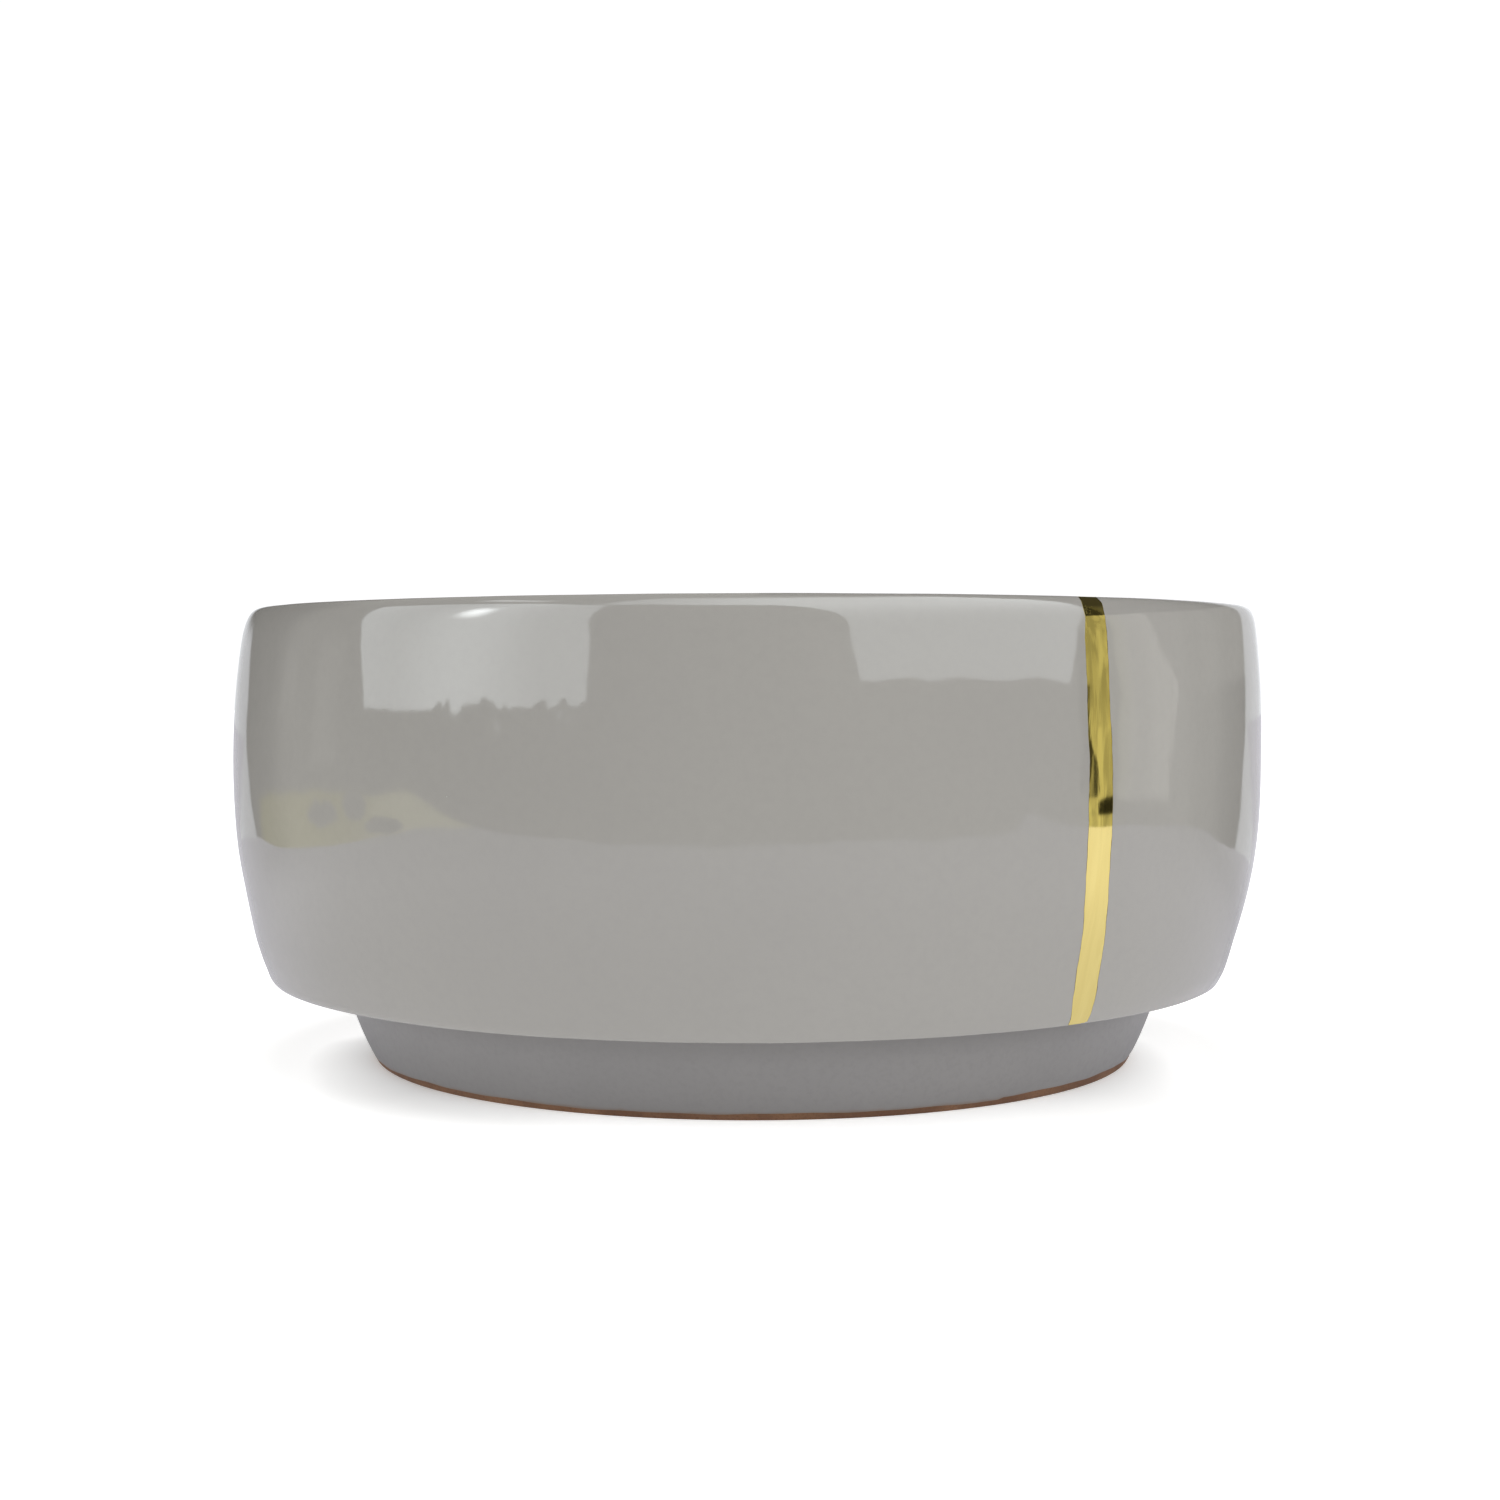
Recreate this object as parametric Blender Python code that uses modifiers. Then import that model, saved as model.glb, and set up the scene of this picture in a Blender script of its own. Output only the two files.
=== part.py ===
"""Low footed ceramic bowl, one turned piece: barrel wall, rounded rim, hollow inside, tapered foot ring."""

import math

import bpy

# ---------------------------------------------------------------- driving dimensions, metres
BELLY_R = 0.1500          # widest radius of the outside
BELLY_Z = 0.0877          # height of the widest ring
HEIGHT = 0.1296           # rim crest above the table

SHOULDER_Z = 0.1206       # where the wall starts to round over into the rim
SHOULDER_DROP = 0.0020    # how much the wall has leant in by the shoulder
UPPER_POWER = 2.2         # roundness of the wall above the belly

HAUNCH_Z = 0.0549         # where the wall starts to turn in towards the lower corner
HAUNCH_DROP = 0.00225     # how much the wall has pulled in by the haunch
LOWER_POWER = 2.61        # roundness of the wall below the belly

CREST_R = 0.1434          # radius of the rim's highest ring
WALL = 0.0070             # wall thickness

CORNER_R = 0.1392         # end of the lower corner, on the underside
CORNER_Z = 0.0239
UNDERSIDE_RISE = 0.12     # slope of the underside between the corner and the foot
CREASE_R = 0.1211         # where the foot meets the underside
CREASE_Z = 0.0217

FOOT_R = 0.1124           # outer radius of the foot at the table
FOOT_EDGE = 0.0006        # rounding of the foot's outer edge
FOOT_INNER_R = 0.1030     # inner radius of the foot ring
RECESS_Z = 0.0184         # ceiling of the recess under the foot
RECESS_FILLET = 0.0050

FLOOR_Z = 0.0266          # inside floor at the centre
FLOOR_DISH = 0.0020       # how much the inside floor has risen by the inner corner
FLOOR_EDGE_R = 0.1150     # where the inside floor starts to turn up
INNER_TURN_Z = 0.0560     # where the inside corner has become the wall

AROUND = 80               # facets round the axis


# ---------------------------------------------------------------- profile helpers
def outer_wall(z):
    """Outer radius of the barrel wall at height z."""
    if z >= BELLY_Z:
        t = (z - BELLY_Z) / (SHOULDER_Z - BELLY_Z)
        return BELLY_R - SHOULDER_DROP * t**UPPER_POWER
    t = (BELLY_Z - z) / (BELLY_Z - HAUNCH_Z)
    return BELLY_R - HAUNCH_DROP * t**LOWER_POWER


def wall_lean(z):
    """Change of the outer radius with height."""
    h = 1e-5
    return (outer_wall(z + h) - outer_wall(z - h)) / (2 * h)


def blend(start, start_dir, end, end_dir, reach, count):
    """Points of a cubic that leaves start along start_dir and reaches end along end_dir.

    reach is the share of the way to the tangents' crossing that each handle takes.
    The start point itself is left out.
    """
    (x0, z0), (u0, w0) = start, start_dir
    (x3, z3), (u3, w3) = end, end_dir
    det = u0 * w3 - w0 * u3
    a = ((x3 - x0) * w3 - (z3 - z0) * u3) / det
    cross = (x0 + a * u0, z0 + a * w0)
    x1, z1 = x0 + (cross[0] - x0) * reach, z0 + (cross[1] - z0) * reach
    x2, z2 = x3 + (cross[0] - x3) * reach, z3 + (cross[1] - z3) * reach
    points = []
    for i in range(1, count + 1):
        t = i / count
        s = 1 - t
        points.append((
            s**3 * x0 + 3 * s * s * t * x1 + 3 * s * t * t * x2 + t**3 * x3,
            s**3 * z0 + 3 * s * s * t * z1 + 3 * s * t * t * z2 + t**3 * z3,
        ))
    return points


def bowl_profile():
    """Half section from the middle of the inside floor, over the rim, to the middle of the recess."""
    points = [(0.0, FLOOR_Z)]

    # inside floor, slightly dished
    floor_steps = 4
    for i in range(1, floor_steps + 1):
        t = i / floor_steps
        points.append((FLOOR_EDGE_R * t, FLOOR_Z + FLOOR_DISH * t * t))
    floor_end = points[-1]
    floor_dir = (FLOOR_EDGE_R, 2 * FLOOR_DISH)

    # inside corner, up to the wall
    inner_turn = (outer_wall(INNER_TURN_Z) - WALL, INNER_TURN_Z)
    points += blend(floor_end, floor_dir, inner_turn, (wall_lean(INNER_TURN_Z), 1.0), 0.66, 8)

    # inside wall, parallel to the outside
    wall_steps = 7
    lip_z = SHOULDER_Z
    for i in range(1, wall_steps + 1):
        z = INNER_TURN_Z + (lip_z - INNER_TURN_Z) * i / wall_steps
        points.append((outer_wall(z) - WALL, z))

    # rim: tight on the inside, softer on the outside
    lip = points[-1]
    crest = (CREST_R, HEIGHT)
    shoulder = (outer_wall(SHOULDER_Z), SHOULDER_Z)
    points += blend(lip, (wall_lean(lip_z), 1.0), crest, (1.0, 0.0), 0.62, 5)
    points += blend(crest, (1.0, 0.0), shoulder, (wall_lean(SHOULDER_Z), 1.0), 0.60, 6)

    # outside wall, down to the haunch
    wall_steps = 8
    for i in range(1, wall_steps + 1):
        z = SHOULDER_Z + (HAUNCH_Z - SHOULDER_Z) * i / wall_steps
        points.append((outer_wall(z), z))

    # lower corner, underside and crease
    haunch = points[-1]
    corner = (CORNER_R, CORNER_Z)
    points += blend(haunch, (-wall_lean(HAUNCH_Z), -1.0), corner, (-1.0, -0.42), 0.46, 7)
    soft = (CORNER_R - 0.0042, CORNER_Z - 0.0042 * 0.19)
    points.append(soft)
    points.append((CREASE_R + 0.0012, CREASE_Z + 0.0012 * UNDERSIDE_RISE))

    # tapered foot with a rounded outer edge
    lean = (CREASE_R - FOOT_R) / CREASE_Z
    points.append((CREASE_R - lean * 0.0011, CREASE_Z - 0.0011))
    points.append((FOOT_R + lean * CREASE_Z / 2, CREASE_Z / 2))
    points.append((FOOT_R + lean * FOOT_EDGE, FOOT_EDGE))
    points += blend(points[-1], (-lean, -1.0), (FOOT_R - FOOT_EDGE, 0.0), (-1.0, 0.0), 0.6, 3)

    # resting face, inner edge and the recess
    points.append((FOOT_INNER_R + 0.0008, 0.0))
    points.append((FOOT_INNER_R, 0.0008))
    points.append((FOOT_INNER_R, RECESS_Z - RECESS_FILLET))
    points += blend(points[-1], (0.0, 1.0), (FOOT_INNER_R - RECESS_FILLET, RECESS_Z), (-1.0, 0.0), 0.55, 3)
    points.append((FOOT_INNER_R * 0.5, RECESS_Z))
    points.append((0.0, RECESS_Z))
    return points


# ---------------------------------------------------------------- scene helpers
def clear_scene():
    for obj in list(bpy.data.objects):
        bpy.data.objects.remove(obj, do_unlink=True)


def new_collection(name):
    made = bpy.data.collections.new(name)
    bpy.context.scene.collection.children.link(made)
    return made


def glaze_material():
    material = bpy.data.materials.new("warm_grey_glaze")
    material.use_nodes = True
    shader = material.node_tree.nodes["Principled BSDF"]
    shader.inputs["Base Color"].default_value = (0.335, 0.326, 0.307, 1.0)
    shader.inputs["Roughness"].default_value = 0.08
    shader.inputs["Metallic"].default_value = 0.0
    material.diffuse_color = (0.335, 0.326, 0.307, 1.0)
    return material


def turned(name, profile, around, collection, material):
    mesh = bpy.data.meshes.new(name)
    verts = [(r, 0.0, z) for r, z in profile]
    edges = [(i, i + 1) for i in range(len(verts) - 1)]
    mesh.from_pydata(verts, edges, [])
    obj = bpy.data.objects.new(name, mesh)
    collection.objects.link(obj)
    mesh.materials.append(material)
    screw = obj.modifiers.new("turn", "SCREW")
    screw.axis = "Z"
    screw.angle = math.tau
    screw.steps = around
    screw.render_steps = around
    screw.use_merge_vertices = True
    screw.merge_threshold = 0.00005
    screw.use_smooth_shade = True
    return obj


def main():
    clear_scene()
    parts = new_collection("footed_bowl")
    turned("bowl", bowl_profile(), AROUND, parts, glaze_material())


main()
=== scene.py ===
import math

import bpy
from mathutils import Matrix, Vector


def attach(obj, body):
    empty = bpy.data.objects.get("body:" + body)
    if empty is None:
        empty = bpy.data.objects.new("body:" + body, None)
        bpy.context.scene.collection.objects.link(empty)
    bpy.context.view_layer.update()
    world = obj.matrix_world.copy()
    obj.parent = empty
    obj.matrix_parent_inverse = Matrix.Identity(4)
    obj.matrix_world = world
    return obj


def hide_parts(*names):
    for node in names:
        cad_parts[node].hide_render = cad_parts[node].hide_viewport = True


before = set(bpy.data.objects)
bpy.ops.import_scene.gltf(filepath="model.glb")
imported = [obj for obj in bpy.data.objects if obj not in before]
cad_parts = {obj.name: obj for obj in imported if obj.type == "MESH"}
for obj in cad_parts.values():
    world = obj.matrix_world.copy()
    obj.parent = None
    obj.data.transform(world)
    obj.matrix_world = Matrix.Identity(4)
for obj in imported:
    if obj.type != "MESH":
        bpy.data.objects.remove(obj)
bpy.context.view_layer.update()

# ---------------------------------------------------------------- driving dimensions of the turned form, metres
BELLY_R = 0.1500
BELLY_Z = 0.0877
HEIGHT = 0.12944
SHOULDER_Z = 0.1206
SHOULDER_DROP = 0.0020
UPPER_POWER = 2.2
HAUNCH_Z = 0.0549
HAUNCH_DROP = 0.00225
LOWER_POWER = 2.61
CREST_R = 0.1438
WALL = 0.0070
CORNER_R = 0.1388
CORNER_Z = 0.0236
CORNER_SLOPE = 0.63
UNDERSIDE_RISE = 0.15
CREASE_R = 0.1211
CREASE_Z = 0.0217
FOOT_R = 0.1117
FOOT_EDGE = 0.0004
FOOT_INNER_R = 0.1030
RECESS_Z = 0.0184
RECESS_FILLET = 0.0050
FLOOR_Z = 0.0266
FLOOR_DISH = 0.0020
FLOOR_EDGE_R = 0.1150
INNER_TURN_Z = 0.0560

BARE_Z = 0.00175          # height of the unglazed line round the foot
FOOT_TUCK = 0.0009        # how much the foot's flank rounds in at the table
FOOT_TUCK_Z = 0.0110      # height at which that rounding starts
FOOT_FORWARD = 0.0033     # how far the foot's lower edge stands forward of the axis
STRIPE_EDGE = 0.00013     # width of the darker line along each side of the gold stripe
STRIPE_INSIDE = 0.0330    # how far the stripe runs down the inside, from the crest
STRIPE_TIP = 0.0034       # length of its rounded end there


# ---------------------------------------------------------------- profile
def outer_wall(z):
    if z >= BELLY_Z:
        t = (z - BELLY_Z) / (SHOULDER_Z - BELLY_Z)
        return BELLY_R - SHOULDER_DROP * t**UPPER_POWER
    t = (BELLY_Z - z) / (BELLY_Z - HAUNCH_Z)
    return BELLY_R - HAUNCH_DROP * t**LOWER_POWER


def wall_lean(z):
    h = 1e-5
    return (outer_wall(z + h) - outer_wall(z - h)) / (2 * h)


def blend(start, start_dir, end, end_dir, reach, count):
    """Points of a cubic that leaves start along start_dir and reaches end along end_dir."""
    (x0, z0), (u0, w0) = start, start_dir
    (x3, z3), (u3, w3) = end, end_dir
    det = u0 * w3 - w0 * u3
    a = ((x3 - x0) * w3 - (z3 - z0) * u3) / det
    cross = (x0 + a * u0, z0 + a * w0)
    x1, z1 = x0 + (cross[0] - x0) * reach, z0 + (cross[1] - z0) * reach
    x2, z2 = x3 + (cross[0] - x3) * reach, z3 + (cross[1] - z3) * reach
    points = []
    for i in range(1, count + 1):
        t = i / count
        s = 1 - t
        points.append((
            s**3 * x0 + 3 * s * s * t * x1 + 3 * s * t * t * x2 + t**3 * x3,
            s**3 * z0 + 3 * s * s * t * z1 + 3 * s * t * t * z2 + t**3 * z3,
        ))
    return points


def line(start, end, count):
    return [(start[0] + (end[0] - start[0]) * i / count, start[1] + (end[1] - start[1]) * i / count)
            for i in range(1, count + 1)]


def profile():
    """(r, z, zone) from near the middle of the inside floor, over the rim, to near the middle of the recess."""
    rows = []

    def add(points, zone):
        rows.extend((r, z, zone) for r, z in points)

    steps = 14
    add([(FLOOR_EDGE_R * i / steps, FLOOR_Z + FLOOR_DISH * (i / steps) ** 2) for i in range(1, steps + 1)], "glaze")
    floor_end = rows[-1][:2]
    turn = (outer_wall(INNER_TURN_Z) - WALL, INNER_TURN_Z)
    add(blend(floor_end, (FLOOR_EDGE_R, 2 * FLOOR_DISH), turn, (wall_lean(INNER_TURN_Z), 1.0), 0.66, 20), "glaze")
    heights = [INNER_TURN_Z, 0.0930, 0.1010, SHOULDER_Z]
    for low, high, steps in zip(heights, heights[1:], (12, 20, 8)):
        for i in range(1, steps + 1):
            z = low + (high - low) * i / steps
            add([(outer_wall(z) - WALL, z)], "glaze")
    lip = rows[-1][:2]
    crest = (CREST_R, HEIGHT)
    shoulder = (outer_wall(SHOULDER_Z), SHOULDER_Z)
    add(blend(lip, (wall_lean(SHOULDER_Z), 1.0), crest, (1.0, 0.0), 0.62, 11), "glaze")
    add(blend(crest, (1.0, 0.0), shoulder, (wall_lean(SHOULDER_Z), 1.0), 0.69, 16), "glaze")
    steps = 40
    for i in range(1, steps + 1):
        z = SHOULDER_Z + (HAUNCH_Z - SHOULDER_Z) * i / steps
        add([(outer_wall(z), z)], "glaze")
    haunch = rows[-1][:2]
    corner = (CORNER_R, CORNER_Z)
    add(blend(haunch, (-wall_lean(HAUNCH_Z), -1.0), corner, (-1.0, -CORNER_SLOPE), 0.52, 34), "glaze")
    soft = (CORNER_R - 0.0042, CORNER_Z - 0.0042 * 0.19)
    add(blend(corner, (-1.0, -CORNER_SLOPE), soft, (-1.0, -UNDERSIDE_RISE), 0.6, 5), "glaze")
    near = (CREASE_R + 0.0007, CREASE_Z + 0.0007 * UNDERSIDE_RISE)
    add(line(soft, near, 6), "glaze")
    lean = (CREASE_R - FOOT_R) / CREASE_Z
    below = (CREASE_R - lean * 0.0007, CREASE_Z - 0.0007)
    add(blend(near, (-1.0, -UNDERSIDE_RISE), below, (-lean, -1.0), 0.7, 4), "glaze")

    def flank(z):
        return FOOT_R + lean * z - FOOT_TUCK * max(0.0, 1.0 - z / FOOT_TUCK_Z) ** 2

    steps = 14
    for i in range(1, steps + 1):
        z = below[1] + (BARE_Z - below[1]) * i / steps
        add([(flank(z), z)], "foot")
    for i in range(1, 4):
        z = BARE_Z + (FOOT_EDGE - BARE_Z) * i / 3
        add([(flank(z), z)], "bare")
    edge = rows[-1][:2]
    tread = FOOT_R - FOOT_TUCK - FOOT_EDGE
    add(blend(edge, (-lean - 2 * FOOT_TUCK / FOOT_TUCK_Z, -1.0), (tread, 0.0), (-1.0, 0.0), 0.6, 3), "bare")
    add(line((tread, 0.0), (FOOT_INNER_R + 0.0008, 0.0), 3), "bare")
    add([(FOOT_INNER_R, 0.0008)], "bare")
    add(line((FOOT_INNER_R, 0.0008), (FOOT_INNER_R, RECESS_Z - RECESS_FILLET), 4), "foot")
    add(blend(rows[-1][:2], (0.0, 1.0), (FOOT_INNER_R - RECESS_FILLET, RECESS_Z), (-1.0, 0.0), 0.55, 4), "foot")
    steps = 7
    start = FOOT_INNER_R - RECESS_FILLET
    add([(start * (1 - i / steps), RECESS_Z) for i in range(1, steps)], "foot")
    return rows


# ---------------------------------------------------------------- small curves
def along(x, stops):
    """Smooth curve through (x, value) stops."""
    if x <= stops[0][0]:
        return stops[0][1]
    for k in range(len(stops) - 1):
        (x0, v0), (x1, v1) = stops[k], stops[k + 1]
        if x <= x1:
            before = stops[k - 1] if k else stops[k]
            after = stops[k + 2] if k + 2 < len(stops) else stops[k + 1]
            h = x1 - x0
            m0 = (v1 - before[1]) / (x1 - before[0]) * h
            m1 = (after[1] - v0) / (after[0] - x0) * h
            t = (x - x0) / h
            return ((2 * t**3 - 3 * t**2 + 1) * v0 + (t**3 - 2 * t**2 + t) * m0
                    + (3 * t**2 - 2 * t**3) * v1 + (t**3 - t**2) * m1)
    return stops[-1][1]


def ramp(x, a, b):
    t = min(1.0, max(0.0, (x - a) / (b - a)))
    return t * t * (3 - 2 * t)


# How far the hand-made body sits off the foot's axis, by height, in metres
LEAN_X = [(0.0, 0.00065), (0.0217, 0.0002), (0.0236, -0.0011), (0.0250, -0.0013), (0.027, -0.0012), (0.031, -0.0013),
          (0.036, -0.00135), (0.044, -0.0010), (0.052, -0.0008), (0.062, -0.0008), (0.075, -0.0008), (0.088, -0.0008),
          (0.110, -0.0004), (0.122, -0.0001), (0.12944, 0.0004)]
# Edges of the gold stripe by height, in degrees round from the front
STRIPE_LEFT = [(0.0200, 35.26), (0.0251, 35.21), (0.0265, 35.04), (0.0284, 34.87), (0.0305, 34.73), (0.0331, 34.67),
               (0.0356, 34.60), (0.0395, 34.43), (0.0433, 34.28), (0.0471, 34.16), (0.0508, 33.99), (0.0546, 33.83),
               (0.0583, 33.72), (0.0620, 33.63), (0.0657, 33.55), (0.0693, 33.51), (0.0730, 33.53), (0.0761, 33.54),
               (0.0827, 33.55), (0.0863, 33.56), (0.0899, 33.53), (0.0936, 33.45), (0.0972, 33.37), (0.1008, 33.29),
               (0.1044, 33.25), (0.1080, 33.23), (0.1117, 33.22), (0.1153, 33.21), (0.1189, 33.24), (0.1213, 33.30),
               (0.1233, 33.37), (0.1247, 33.37), (0.1257, 33.31), (0.1267, 33.27), (0.1277, 33.24), (0.1286, 33.21)]
STRIPE_RIGHT = [(0.0200, 37.79), (0.0245, 37.89), (0.0257, 37.94), (0.0277, 37.87), (0.0297, 37.86), (0.0323, 37.83),
                (0.0350, 37.68), (0.0388, 37.54), (0.0427, 37.43), (0.0465, 37.22), (0.0503, 36.99), (0.0541, 36.83),
                (0.0579, 36.71), (0.0616, 36.61), (0.0653, 36.55), (0.0690, 36.52), (0.0727, 36.51), (0.0759, 36.52),
                (0.0825, 36.52), (0.0861, 36.49), (0.0898, 36.43), (0.0934, 36.33), (0.0971, 36.21), (0.1008, 36.10),
                (0.1044, 36.06), (0.1080, 36.05), (0.1117, 36.00), (0.1153, 35.97), (0.1190, 35.98), (0.1214, 35.98),
                (0.1234, 35.98), (0.1248, 35.95), (0.1258, 35.88), (0.1268, 35.87), (0.1278, 35.81), (0.1288, 35.56)]


def wander(k, seed):
    """Small smooth wobble of a brushed edge along the profile, in degrees."""
    return (0.028 * math.sin(k * 310.0 + seed) + 0.020 * math.sin(k * 760.0 + 2.3 * seed)
            + 0.012 * math.sin(k * 1630.0 + 4.1 * seed))


# Gentle unevenness of the hand-finished surface: (amplitude in m, waves round, waves per metre of profile, phases)
SWELL = [
    (0.000060, 2, 2.0, 0.6, 1.1),
    (0.000020, 5, 5.0, 2.1, 0.3),
    (0.000016, 9, 11.0, 4.0, 2.2),
    (0.000014, 14, 9.0, 1.2, 5.1),
    (0.000016, 23, 21.0, 3.3, 0.9),
    (0.000012, 31, 27.0, 0.4, 2.7),
    (0.0000065, 53, 45.0, 5.2, 1.9),
    (0.0000050, 71, 62.0, 2.9, 4.4),
]


def swell(theta, s):
    total = 0.0
    for amplitude, around, per_metre, p, q in SWELL:
        total += amplitude * math.cos(around * theta + p + 1.7 * math.sin(2 * theta + q)) * math.cos(
            math.tau * per_metre * s + q + 0.6 * math.sin(theta + p))
    return total


# ---------------------------------------------------------------- the bowl's mesh
AROUND = 372
INNER_COLUMNS = 8


def columns():
    """Column angles in degrees: the stripe's own columns stand at fixed places, marked by their role."""
    left, right = 33.2, 36.1
    edge = math.degrees(STRIPE_EDGE / BELLY_R)
    roles = [("edge_l", 0.0), ("gold", 0.0)]
    roles += [("gold", (i + 1) / (INNER_COLUMNS + 1)) for i in range(INNER_COLUMNS)]
    roles += [("gold_end", 1.0), ("edge_r", 1.0)]
    start = right + edge
    span = 360.0 - (right - left) - 2 * edge
    free = [start + span * (i + 1) / (AROUND + 1) for i in range(AROUND)]
    return roles, free, left, right, edge


def stripe_at(z, s, inside, run):
    """Left and right edge of the stripe; run is the way along the profile from the crest."""
    if inside:
        left, right = STRIPE_LEFT[-1][1], STRIPE_RIGHT[-1][1]
        left += 0.25 * ramp(HEIGHT - z, 0.0, 0.03)
        right += 0.10 * ramp(HEIGHT - z, 0.0, 0.03)
        # the brush lifts off: the stripe rounds in towards its end
        past = min(1.0, max(0.0, (run - STRIPE_INSIDE + STRIPE_TIP) / STRIPE_TIP))
        share = math.sqrt(1 - past * past * 0.93)
        share += (1 - share) * ramp(run, STRIPE_INSIDE + 0.001, STRIPE_INSIDE + 0.012)
        middle = (left + right) / 2 + 0.12 * past
        left, right = middle + (left - middle) * share, middle + (right - middle) * share
    else:
        left, right = along(z, STRIPE_LEFT), along(z, STRIPE_RIGHT)
    return left + wander(s, 1.0), right + wander(s, 2.6)


def build_bowl():
    rows = profile()
    crest_row = max(range(len(rows)), key=lambda k: rows[k][1])
    length = [0.0]
    for a, b in zip(rows, rows[1:]):
        length.append(length[-1] + math.hypot(b[0] - a[0], b[1] - a[1]))
    normals = []
    for k in range(len(rows)):
        a, b = rows[max(0, k - 1)], rows[min(len(rows) - 1, k + 1)]
        dr, dz = b[0] - a[0], b[1] - a[1]
        d = math.hypot(dr, dz)
        normals.append((-dz / d, dr / d))

    roles, free, left0, right0, edge0 = columns()
    count = len(roles) + len(free)
    verts, uvs = [], []
    for k, (r, z, zone) in enumerate(rows):
        inside = k < crest_row
        s = length[k]
        left, right = stripe_at(z, s, inside, abs(length[crest_row] - s))
        edge = math.degrees(STRIPE_EDGE / max(r, 0.05)) * (1.0 + 0.35 * math.sin(s * 420.0))
        edge_right = math.degrees(STRIPE_EDGE / max(r, 0.05)) * (1.0 + 0.35 * math.sin(s * 370.0 + 2.0))
        angles = []
        for role, share in roles:
            if role == "edge_l":
                angles.append(left - edge)
            elif role == "edge_r":
                angles.append(right + edge_right)
            else:
                angles.append(left + (right - left) * share)
        for a in free:
            after = a - (right0 + edge0)
            before = (left0 - edge0) + 360.0 - a
            push = (right + edge_right - right0 - edge0) * (1 - ramp(after, 0, 30)) + (left - edge - left0 + edge0) * (
                1 - ramp(before, 0, 30))
            angles.append(a + push)
        # normal of the half section: outwards from the clay
        nr, nz = normals[k]
        fade = ramp(z, 0.0, 0.004) * ramp(r, 0.01, 0.05)
        lean_x = along(z, LEAN_X) if not (inside and z < 0.05) else along(z, LEAN_X) * ramp(z, 0.025, 0.05)
        if zone == "foot" or zone == "bare":
            lean_x = along(0.0, LEAN_X)
        for a in angles:
            t = math.radians(a)
            bump = swell(t, s) * fade
            if zone in ("foot", "bare"):
                bump *= 0.4
            rr = r + nr * bump
            zz = z + nz * bump
            x, y = rr * math.sin(t), -rr * math.cos(t)
            # the rim stands a little higher on the right than on the left
            zz += 0.0022 * (x / BELLY_R) * 0.15 * ramp(z, 0.02, 0.12)
            if abs(z - BARE_Z) < 1e-9:
                zz += 0.00045 * ramp(a, 4.0, 26.0) * (1 - ramp(a, 75.0, 130.0))
                zz += 0.00012 * math.sin(7 * t + 1.0) + 0.00010 * math.sin(19 * t) + 0.00006 * math.sin(43 * t + 2.0)
            forward = FOOT_FORWARD * (1 - ramp(z, 0.0, CREASE_Z)) if zone in ("foot", "bare") and r > 0.09 else 0.0
            verts.append((x + lean_x, y - forward, zz))
            uvs.append((t * 0.15, s))
    faces, slots, face_uv = [], [], []
    stripe_first_row = next(k for k in range(crest_row) if length[crest_row] - length[k] < STRIPE_INSIDE)
    stripe_last_row = max(k for k in range(len(rows)) if k > crest_row and rows[k][0] > CORNER_R - 0.0003 and rows[k][1] < 0.03)
    n_roles = len(roles)
    for k in range(len(rows) - 1):
        zone = rows[k + 1][2] if rows[k + 1][2] == rows[k][2] else (
            rows[k][2] if rows[k][2] == "bare" and rows[k + 1][2] == "foot" else rows[k + 1][2])
        if rows[k][2] == "foot" and rows[k + 1][2] == "bare":
            zone = "bare"
        if rows[k][2] == "glaze" and rows[k + 1][2] == "foot":
            zone = "foot"
        if rows[k][2] == "bare" and rows[k + 1][2] == "foot":
            zone = "foot"
        for c in range(count):
            d = (c + 1) % count
            faces.append((k * count + c, (k + 1) * count + c, (k + 1) * count + d, k * count + d))
            slot = {"glaze": 0, "foot": 3, "bare": 4}[zone]
            if zone == "glaze" and c < n_roles - 1:
                last = stripe_last_row - (0 if c < 3 else (1 if c < 7 else (2 if c < 9 else 3)))
                first = stripe_first_row + (1 if c < 4 else 0)
                if first <= k < last:
                    slot = 2 if (c == 0 or c == n_roles - 2) else 1
            slots.append(slot)
    # close the middle of the floor and of the recess
    middle_top = len(verts)
    verts.append((0.0, 0.0, FLOOR_Z))
    uvs.append((0.0, -0.008))
    middle_under = len(verts)
    verts.append((0.00035, 0.0, RECESS_Z))
    uvs.append((0.0, length[-1] + 0.01))
    last = (len(rows) - 1) * count
    for c in range(count):
        d = (c + 1) % count
        faces.append((middle_top, c, d))
        slots.append(0)
        faces.append((middle_under, last + d, last + c))
        slots.append(3)

    mesh = bpy.data.meshes.new("bowl_glazed")
    mesh.from_pydata(verts, [], faces)
    layer = mesh.uv_layers.new(name="along")
    turn = math.tau * 0.15
    for poly in mesh.polygons:
        poly.material_index = slots[poly.index]
        poly.use_smooth = True
        us = [uvs[v][0] for v in poly.vertices]
        top = max(us)
        for loop, v, u in zip(poly.loop_indices, poly.vertices, us):
            layer.data[loop].uv = (u + (turn if top - u > turn / 2 else 0.0), uvs[v][1])
    mesh.update()
    obj = bpy.data.objects.new("bowl_glazed", mesh)
    bpy.context.scene.collection.objects.link(obj)
    return obj


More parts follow.
